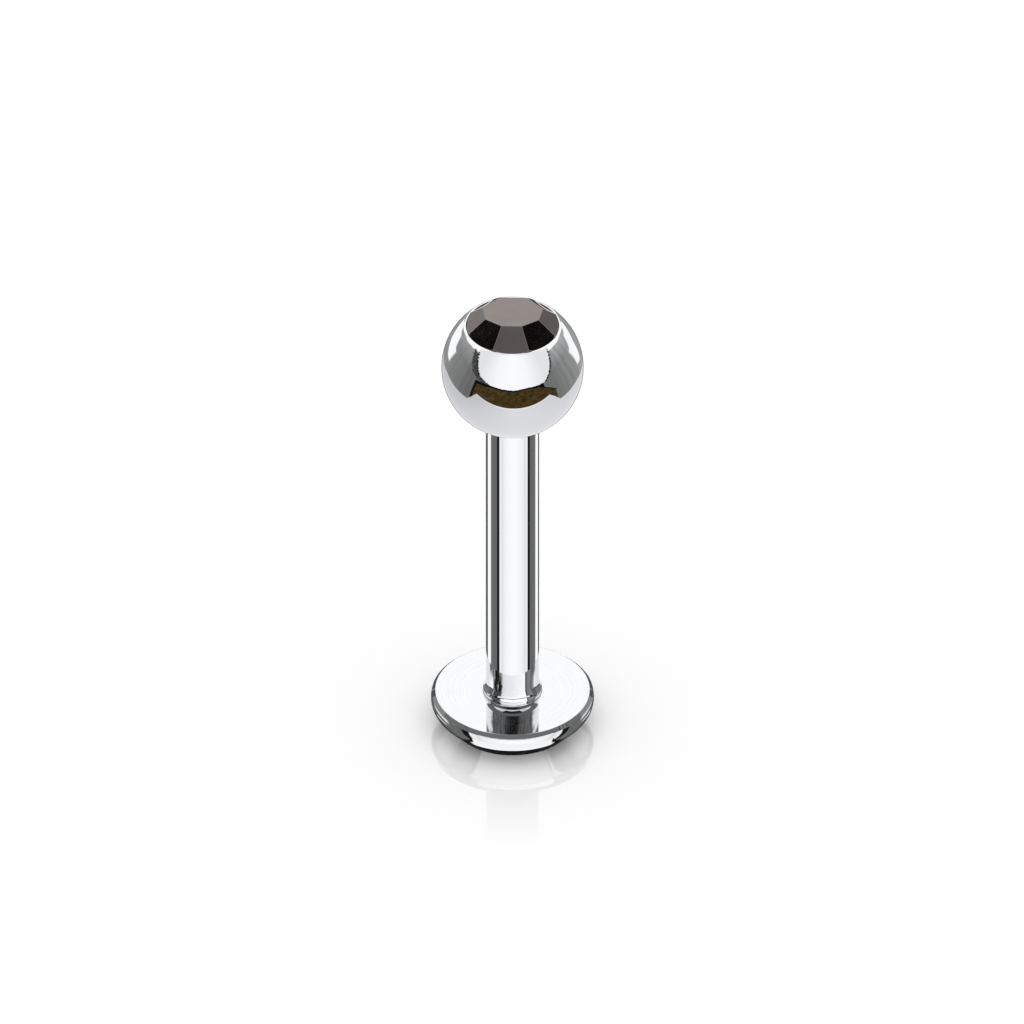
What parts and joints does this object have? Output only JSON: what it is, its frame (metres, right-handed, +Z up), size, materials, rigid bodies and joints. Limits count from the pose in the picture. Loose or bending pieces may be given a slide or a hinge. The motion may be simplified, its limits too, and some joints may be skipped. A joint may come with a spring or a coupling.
{
  "type": "labret stud",
  "caption": "Polished steel labret stud: a straight post on a round flat disc, with a screw-on ball that holds a dark faceted stone.",
  "frame": {"origin": "centre of the disc's flat underside, which the stud stands on", "axes": "+Z up along the post from the disc to the ball; the front flat of the stone's table faces -Y; +X to its right"},
  "size_m": [0.0048, 0.0048, 0.0151],
  "materials": {
    "post_steel": "mirror-polished surgical steel, with fine turning marks on the disc's face",
    "ball_steel": "mirror-polished surgical steel",
    "stone": "opaque dark grey cut stone with a bright metallic gloss"
  },
  "bodies": {
    "post_body": {"post_and_disc": "post_steel"},
    "ball_body": {"ball": "ball_steel", "stone": "stone"}
  },
  "joints": [
    {"name": "ball_lift", "type": "slide", "parent": "post_body", "child": "ball_body", "axis": [0, 0, 1], "range_m": [0, 0.012]}
  ]
}
